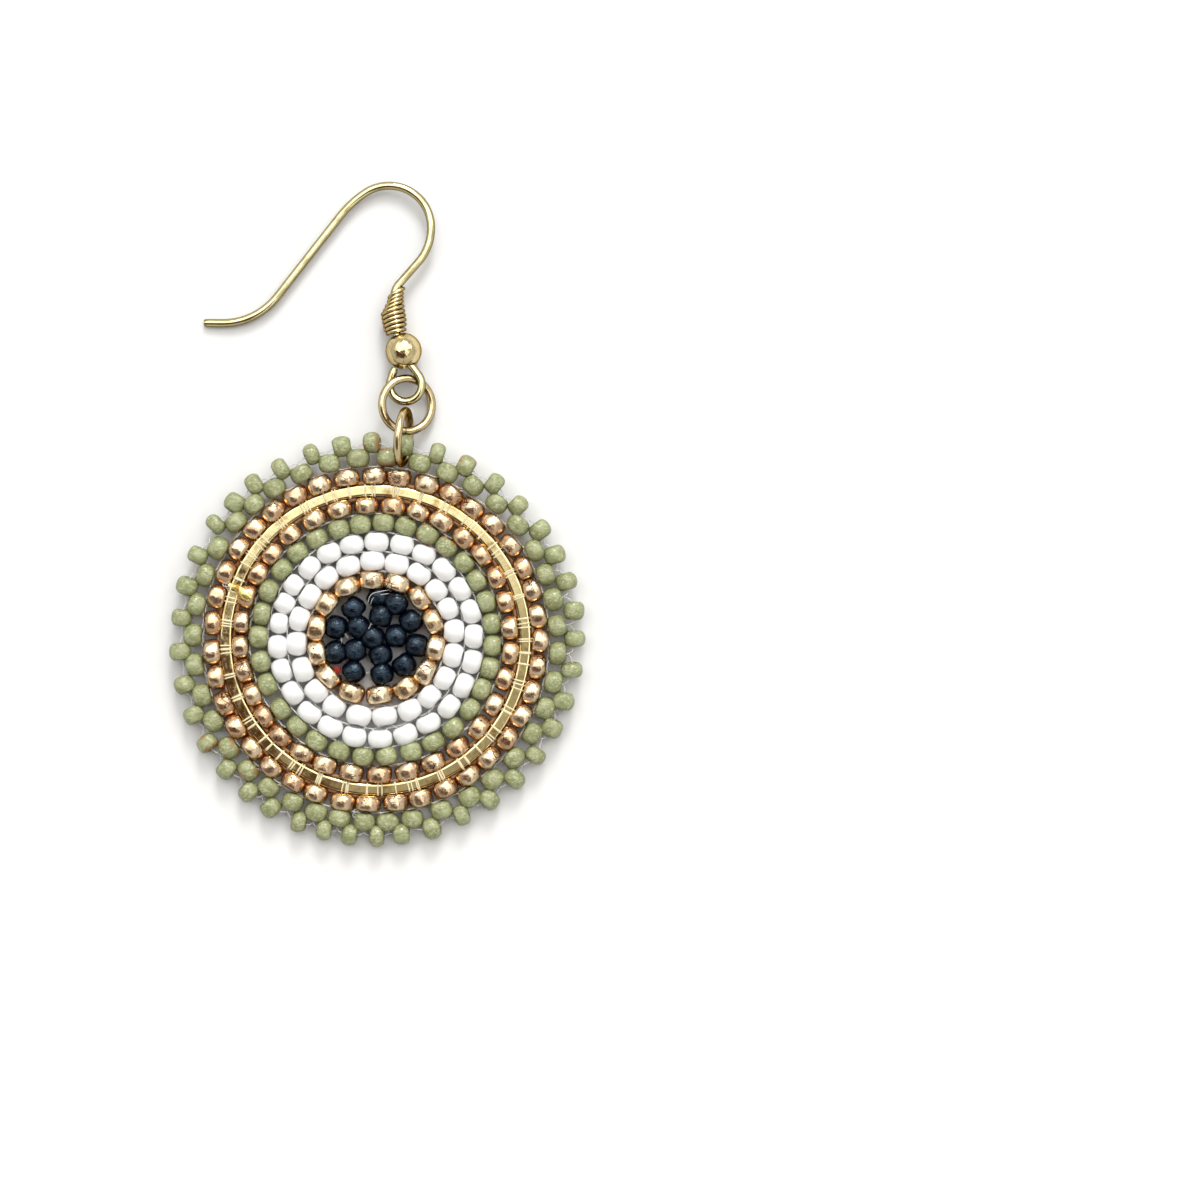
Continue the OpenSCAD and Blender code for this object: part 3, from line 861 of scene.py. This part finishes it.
# Each strip by its points: place along X and Y from the disc's centre, height, half width
FOIL_STRIPS = [
    [(-12.02, 4.56, 0.68, 0.14), (-11.50, 4.44, 0.76, 0.18), (-10.99, 4.24, 0.96, 0.17),
     (-10.50, 3.88, 1.14, 0.17), (-10.12, 3.46, 1.06, 0.13)],
    [(-11.45, 4.02, 0.74, 0.06), (-11.12, 3.88, 0.90, 0.24), (-10.76, 3.62, 1.04, 0.26),
     (-10.46, 3.36, 1.04, 0.16), (-10.28, 3.22, 0.98, 0.05)]
]
# Each strip's direction across: the first slopes to the window, the second away from it
FOIL_SLOPES = np.array([(0.5, 0.8, -0.3), (0.5, 0.8, 0.4)])

foil = new_material("gold foil, creased", Metallic=1.0)
finish_surface(
    foil, mixed(foil, step(foil, noise(foil, 1.5, 3.0), 0.52, 0.64), FOIL_GOLD, FOIL_BROWN),
    roughness=step(foil, noise(foil, 4.0), 0.3, 0.7, 0.22, 0.42),
    height=noise(foil, 2.5, 3.0), depth=0.06 * MM, push=0.8
)
foil_rows = through(np.array(FOIL_STRIPS), steps=5) * MM
foil_skin = tubes(
    foil_rows[..., :3], foil_rows[..., 3], FOIL_SIDES, FOIL_SLOPES[:, None], closed=False,
    flat=FOIL_THICKNESS
)
foil_faces = tube_faces(len(foil_rows), foil_rows.shape[1], FOIL_SIDES, closed=False)
add_piece("foil_scrap", on_disc(foil_skin), foil_faces, foil, sharp=40)

# A chip of broken red glass, about half as wide as a bead. It is caught in the stitching, wedged
# between the navy centre and one of the gold beads about it.
CHIP_AT = np.array([-3.18, -2.54, 0.45]) * MM
CHIP_HALF = np.array([0.52, 0.36, 0.36]) * MM
CHIP_TURN = 55.0
CHIP_SIDES = 5
# Shares of the chip's half width and half height: its two rings of corners, its two tips
CHIP_RINGS = ((1.0, 0.45), (0.9, -0.5))
CHIP_TIPS = (1.0, -0.9)
CHIP_UNEVEN = (0.75, 1.1)
CHIP_DEEP = (0.12, 0.004, 0.002, 1)
CHIP_RED = (0.36, 0.02, 0.005, 1)


def broken_chip():
    """Two uneven rings of corners between a top and a bottom corner, and the faces between them."""
    rng = np.random.default_rng(91)
    around = np.arange(CHIP_SIDES) * 360 / CHIP_SIDES
    rings = [polar(around, share, height) for share, height in CHIP_RINGS]
    top, bottom = ([(0, 0, height)] for height in CHIP_TIPS)
    points = np.concatenate([top, *rings, bottom])
    points = points * rng.uniform(*CHIP_UNEVEN, points.shape)
    faces, last = [], len(points) - 1
    for i in range(CHIP_SIDES):
        upper, upper_next = 1 + i, 1 + (i + 1) % CHIP_SIDES
        lower, lower_next = upper + CHIP_SIDES, upper_next + CHIP_SIDES
        side = [upper, lower, lower_next, upper_next]
        faces += [[0, upper, upper_next], side, [last, lower_next, lower]]
    return turned(points * CHIP_HALF, CHIP_TURN, "Z") + CHIP_AT, faces


red_glass = new_material("red glass chip")
finish_surface(
    red_glass, mixed(red_glass, noise(red_glass, 3.0), CHIP_DEEP, CHIP_RED),
    roughness=step(red_glass, noise(red_glass, 4.0), 0.3, 0.7, 0.05, 0.15)
)
chip_points, chip_faces = broken_chip()
add_piece("red_chip", on_disc(chip_points), chip_faces, red_glass, sharp=20)

# The two jump rings: round brass wire, thinly plated and handled dull, each with the saw cut where
# it was opened. The lower one goes round the edge of the beadwork, the upper one links it on.
RING_WIRE = 0.33 * MM
RING_RADIUS = 2.16 * MM
RING_CUT = 0.05 * MM
RING_STEPS = 96
WIRE_SIDES = 20
PLAN_MIDDLE = np.array([0.02, 10.36, 0.0]) * MM
RING_GOLD = (0.77, 0.64, 0.37, 1)
# Brown: tarnish, and the painted shade on the rings' flanks
RING_BROWN = (0.29, 0.195, 0.105, 1)
EDGE_TARNISH = (0.38, 0.31, 0.16, 1)
# Columns: angle of the saw cut, lean about Y, turn about Z, then the middle in millimetres
UPPER_RING = (265.0, 22.0, 0.0, (2.57, 19.29, 1.45))
LOWER_RING = (340.0, 80.5, -5.3, (2.33, 16.6, 2.4605))


def plated_metal(name, plate, worn, rough, flanks=(0.90, 0.45), scale=1.0, relief=0.015):
    """Plated metal: plate on top, tarnish in clouds, fine scuffs, and the worn colour painted low on
    the flanks as shade and dark reflection. Seen at a slant it reflects darker, as metal under a film of
    tarnish does."""
    material = new_material(name, Metallic=1.0, Specular_Tint=EDGE_TARNISH)
    cloud = step(material, noise(material, 0.9 * scale, 4.0), 0.46, 0.72, 0.0, 0.45)
    # Painted shade: the flanks take the worn colour, standing in for the shade and dark reflection at the
    # metal's edges; tarnish below holds both that and the real tarnish clouds.
    flank_painted_shade = step(material, attribute(material, "up"), *flanks, 0.0, 0.94)
    tarnish = calculate(material, "MAXIMUM", cloud, flank_painted_shade)
    scuff = noise(material, 5.0 * scale, 3.0)
    finish_surface(
        material, mixed(material, tarnish, plate, worn),
        roughness=step(material, scuff, 0.35, 0.7, *rough),
        height=noise(material, 2.2 * scale, 3.0), depth=relief * MM
    )
    return material


def add_wire(name, path, radius, sides, across, place, metal, replaced):
    """A wire with flat ends along a path, set in place by a function of its points."""
    points = place(tubes(path[None], radius, sides, across, closed=False))
    faces = tube_faces(1, len(path), sides, closed=False)
    add_piece(name, points, faces, metal, sharp=50, replaced=[replaced])


def add_ring(name, layout, metal, replaced):
    """A jump ring: the wire carried round the ring's circle from one side of its saw cut to the
    other, leaned about Y, turned about Z and moved to its middle."""
    cut_at, lean, turn, middle = layout
    gap = math.degrees(RING_CUT / RING_RADIUS) / 2
    angle = np.linspace(cut_at + gap, cut_at + 360 - gap, RING_STEPS)
    shift = np.array(middle) * MM - PLAN_MIDDLE
    add_wire(
        name, polar(angle, RING_RADIUS), RING_WIRE, WIRE_SIDES, UP,
        lambda points: turned(turned(points, lean, "Y"), turn, "Z") + shift, metal, replaced
    )


ring_metal = plated_metal(
    "jump ring, dull gold plate", RING_GOLD, RING_BROWN, (0.12, 0.26), flanks=(0.80, 0.35)
)
add_ring("upper_ring", UPPER_RING, ring_metal, "upper_jump_ring")
add_ring("lower_ring", LOWER_RING, ring_metal, "lower_jump_ring")

# The ear wire: one gold plated wire, bent by hand from the eye below the ball, up through the
# ball and the coil, over the arch and out to a blunt tip.
HOOK_WIRE = 0.33 * MM
HOOK_BLUNTED = 0.8
BALL_AT = np.array([2.29, 23.71, 1.48]) * MM
HOOK_HEADING = 112.0
CROWN_SLOPE = -2.5
TIP_SLOPE = -3.6
HOOK_NECK = np.array([-0.72, 0.0, 0.0]) * MM
EYE_TWIST = 8.5
# Columns: straight run, radius of the bend after it, turn of that bend; millimetres and degrees
HOOK_BENDS = [
    (2.22, 1.6, -20), (2.6, 1.3, -43), (2.5, 4.2, 45), (0, 3.5, 119), (0, 8.7, 19), (8.4, 5.6, -53),
    (1.5, 0, 0)
]
EYE_BENDS = [(0, 0.6, 15), (1.49, 1.35, -237), (1.0, 0, 0)]
RUN_STEPS_PER_MM = 3
BEND_STEP = 4
WIRE_GOLD = (0.84, 0.76, 0.42, 1)
# Olive: tarnish, and the painted shade on the wire's flanks
WIRE_OLIVE = (0.19, 0.145, 0.045, 1)


def bent_path(bends):
    """Route of a bent wire in its plane. Each row goes straight ahead for its run, then round an
    arc: ahead by radius x sin of the turn, and aside by radius x (1 - cos of the turn)."""
    place, heading = np.zeros(3), 0.0
    rows = [place[None]]
    for run, radius, turn in bends:
        ahead = np.array([math.cos(heading), math.sin(heading), 0.0])
        aside = np.array([-ahead[1], ahead[0], 0.0]) * np.sign(turn)
        if run:
            rows.append(place + np.linspace(0, run * MM, 2 + int(run * RUN_STEPS_PER_MM))[1:, None] * ahead)
            place = rows[-1][-1]
        if turn:
            swept = np.radians(np.linspace(0, abs(turn), 2 + int(abs(turn) / BEND_STEP))[1:, None])
            rows.append(place + radius * MM * (np.sin(swept) * ahead + (1 - np.cos(swept)) * aside))
            place = rows[-1][-1]
            heading += math.radians(turn)
    return np.concatenate(rows)


def on_hook(points):
    """Set points of the hook, drawn with the ball at the origin and the wire along X, in place."""
    lying = turned(turned(turned(points, HOOK_HEADING, "Z"), CROWN_SLOPE, "X"), TIP_SLOPE, "Y")
    return lying + BALL_AT - PLAN_MIDDLE


def hook_route():
    """The whole wire as one route: the eye's bends from its end back to the neck, then on."""
    eye = turned(turned(bent_path(EYE_BENDS), EYE_TWIST, "X"), 180, "Z")
    return np.concatenate([eye[:0:-1], bent_path(HOOK_BENDS)]) + HOOK_NECK


wire_metal = plated_metal("ear wire, gold plate", WIRE_GOLD, WIRE_OLIVE, (0.05, 0.14))
hook_path = hook_route()
hook_radius = np.full(len(hook_path), HOOK_WIRE)
hook_radius[[0, -1]] = HOOK_BLUNTED * HOOK_WIRE
add_wire(
    "ear_wire", hook_path, hook_radius, WIRE_SIDES, UP, on_hook, wire_metal, "ear_hook"
)

# The coil above the ball: fine gold wire wound close round the ear wire. It leans as it climbs,
# and its last four turns are narrower.
COIL_WIRE = 0.17 * MM
COIL_TURNS = 9.6
COIL_PITCH = 0.35 * MM
COIL_FIRST = -0.45 * MM
COIL_STEPS = 28
COIL_SIDES = 10
COIL_GOLD = (0.88, 0.73, 0.38, 1)
# Brown: tarnish, and the painted shade on the coil's flanks
COIL_BROWN = (0.33, 0.215, 0.085, 1)
# Columns: number of the turn, radius and shift to the side in millimetres, lean in degrees
COIL_SHAPE = np.array([
    (0, 0.68, 0.04, 4), (1, 0.76, 0.0, 10), (2.5, 0.84, -0.06, 13), (5.0, 0.84, -0.18, 15),
    (6.4, 0.68, -0.10, 24), (8, 0.54, 0.05, 26), (9.3, 0.52, 0.12, 26), (9.6, 0.64, 0.12, 26)
])


def coil_path():
    """A helix along the wire's second run: as it goes round it climbs by the pitch, and it also
    climbs towards one side by its radius x tan of its lean."""
    turns = np.linspace(0, COIL_TURNS, int(COIL_TURNS * COIL_STEPS) + 1)
    radius, shift, lean = (np.interp(turns, COIL_SHAPE[:, 0], column) for column in COIL_SHAPE[:, 1:].T)
    side = radius * MM * np.cos(2 * np.pi * turns)
    up = radius * MM * np.sin(2 * np.pi * turns)
    climb = COIL_FIRST + turns * COIL_PITCH - side * np.tan(np.radians(lean))
    helix = np.stack([climb, side - shift * MM, up], -1)
    start = bent_path(HOOK_BENDS[:1])[-1] + HOOK_NECK
    return turned(helix, HOOK_BENDS[0][2], "Z") + start


coil_metal = plated_metal("coil, gold plate", COIL_GOLD, COIL_BROWN, (0.08, 0.20))
add_wire(
    "coil_winding", coil_path(), COIL_WIRE, COIL_SIDES, np.array([1.0, 0.0, 0.0]), on_hook,
    coil_metal, "hook_coil"
)

# The ball: a round brass bead, gold plated and scuffed. It is drilled through and threaded on the
# ear wire, between the coil and the eye.
BALL_RADIUS = 1.48 * MM
BALL_BORE = 0.6 * MM
BALL_LIP = 0.05 * MM
BALL_STEPS = 56
BALL_GOLD = (0.76, 0.63, 0.35, 1)
# Brown: tarnish, and the painted shade on the ball's flanks
BALL_BROWN = (0.36, 0.26, 0.12, 1)


def drilled_ball():
    """The ball's outer circle turned about the wire, closed by the wall of its bore."""
    reach = math.acos((BALL_BORE + BALL_LIP) / BALL_RADIUS)
    swing = np.linspace(-reach, reach, BALL_STEPS)
    outer = np.stack([BALL_RADIUS * np.sin(swing), BALL_RADIUS * np.cos(swing)], -1)
    end = outer[-1, 0] - BALL_LIP
    bore = np.array([(end, BALL_BORE), (-end, BALL_BORE)])
    along, out = np.concatenate([outer, bore]).T
    around = np.arange(BALL_STEPS) * 2 * np.pi / BALL_STEPS
    return np.stack(np.broadcast_arrays(
        along[:, None], out[:, None] * np.cos(around), out[:, None] * np.sin(around)
    ), -1)


ball_metal = plated_metal(
    "ball, scuffed gold plate", BALL_GOLD, BALL_BROWN, (0.05, 0.16), flanks=(0.50, 0.10),
    scale=0.8, relief=0.14
)
add_piece(
    "drilled_ball", on_hook(drilled_ball()), closed_grid(BALL_STEPS + 2, BALL_STEPS), ball_metal,
    sharp=50, replaced=["hook_ball"]
)

# The table that the earring lies on: a pale matt sheet
FLOOR_HALF = 2.0
FLOOR_CORNERS = [(-1, -1, 0), (1, -1, 0), (1, 1, 0), (-1, 1, 0)]
floor_paint = new_material("pale table", Base_Color=(0.78, 0.78, 0.775, 1), Roughness=0.6)
floor_mesh = bpy.data.meshes.new("table")
floor_mesh.from_pydata([Vector(c) * FLOOR_HALF for c in FLOOR_CORNERS], [], [(0, 1, 2, 3)])
floor_mesh.materials.append(floor_paint)
floor = add_object("table", floor_mesh)

# The room's light: a pale ceiling with bright and dark cards on it, which the hoop, the beads and
# the wire mirror. The helpers for materials work on the world's nodes too.
SKY_LOW = (0.62, 0.61, 0.59, 1)
SKY_HIGH = (1.38, 1.38, 1.38, 1)
SKY_BRIGHT = (2.45, 2.45, 2.42, 1)
SKY_SIDE = (0.46, 0.425, 0.36, 1)
SKY_DIM = (0.34, 0.31, 0.26, 1)
SKY_DARK = (0.112, 0.064, 0.044, 1)
# Columns: leans along X, leans along Y, slant, colour
SKY_CARDS = [
    ((-0.9, -0.7, 1.3, 1.6), (0.04, 0.12, 1.0, 1.5), 0.0, SKY_BRIGHT),
    ((-0.12, -0.10, 0.9, 1.6), (-1.3, -0.9, -0.049, -0.011), 0.35, SKY_SIDE),
    ((-0.052, -0.034, 0.0, 0.06), (-0.3, -0.2, -0.0695, -0.0445), 0.35, SKY_DIM),
    ((0.14, 0.22, 0.50, 0.62), (-0.75, -0.55, 0.04, 0.12), 0.0, SKY_BRIGHT),
    ((-1.9, -1.4, -0.072, -0.056), (-1.7, -1.2, -0.047, -0.030), 0.0, SKY_DARK),
    ((-0.20, -0.10, 0.32, 0.50), (-1.7, -1.2, -0.28, -0.15), 0.0, SKY_DARK)
]

room = bpy.data.worlds.new("room")
bpy.context.scene.world = room
room.use_nodes = True
direction = add_node(room, "TexCoord").outputs["Generated"]
parts = add_node(room, "SeparateXYZ", Vector=direction).outputs
upright = calculate(room, "MAXIMUM", parts["Z"], 0.02)
lean_x = calculate(room, "DIVIDE", parts["X"], upright)
lean_y = calculate(room, "DIVIDE", parts["Y"], upright)


def card(x, y, slant):
    """How far a direction lies on an oblong card overhead, given by its leans along X and Y:
    1 on it, 0 off it. Along each axis it fades in from the first lean to the second and out
    from the third to the fourth. Its edges along X rise to the right by the slant."""
    risen = calculate(room, "SUBTRACT", lean_y, calculate(room, "MULTIPLY", lean_x, slant))
    sides = [step(room, lean_x, x[0], x[1]), step(room, lean_x, x[2], x[3], 1.0, 0.0)]
    sides += [step(room, risen, y[0], y[1]), step(room, risen, y[2], y[3], 1.0, 0.0)]
    share = sides[0]
    for side in sides[1:]:
        share = calculate(room, "MULTIPLY", share, side)
    return share


sky_colour = mixed(room, step(room, parts["Z"], 0.40, 0.80), SKY_LOW, SKY_HIGH)
for x, y, slant, colour in SKY_CARDS:
    sky_colour = mixed(room, card(x, y, slant), sky_colour, colour)
background = room.node_tree.nodes["Background"].inputs
feed(room, background["Color"], sky_colour)
feed(room, background["Strength"], 1.0)

# A soft lamp, beyond the end with the hook and high up
LAMP_AT = Vector((0.10, 0.80, 0.60))
LAMP_SIZE = 0.34
LAMP_POWER = 5.0
lamp_data = bpy.data.lights.new("window", "AREA")
lamp_data.shape = "DISK"
lamp_data.size = LAMP_SIZE
lamp_data.energy = LAMP_POWER
lamp = add_object("window", lamp_data)
lamp.location = LAMP_AT
lamp.rotation_euler = (-LAMP_AT).to_track_quat("-Z", "Y").to_euler()

# The camera looks straight down from 350 mm, on a place beside the earring
CAMERA_HEIGHT = 0.350
CAMERA_AT = (18.373 * MM, -7.078 * MM)
VIEW_WIDTH = 98.81 * MM
camera_data = bpy.data.cameras.new("camera")
camera_data.sensor_width = 36.0
camera_data.lens = camera_data.sensor_width * CAMERA_HEIGHT / VIEW_WIDTH
camera_data.clip_start = 0.01
camera_data.clip_end = 20.0
camera = add_object("camera", camera_data)
camera.location = (*CAMERA_AT, CAMERA_HEIGHT)
bpy.context.scene.camera = camera
bpy.context.scene.view_settings.view_transform = "Standard"
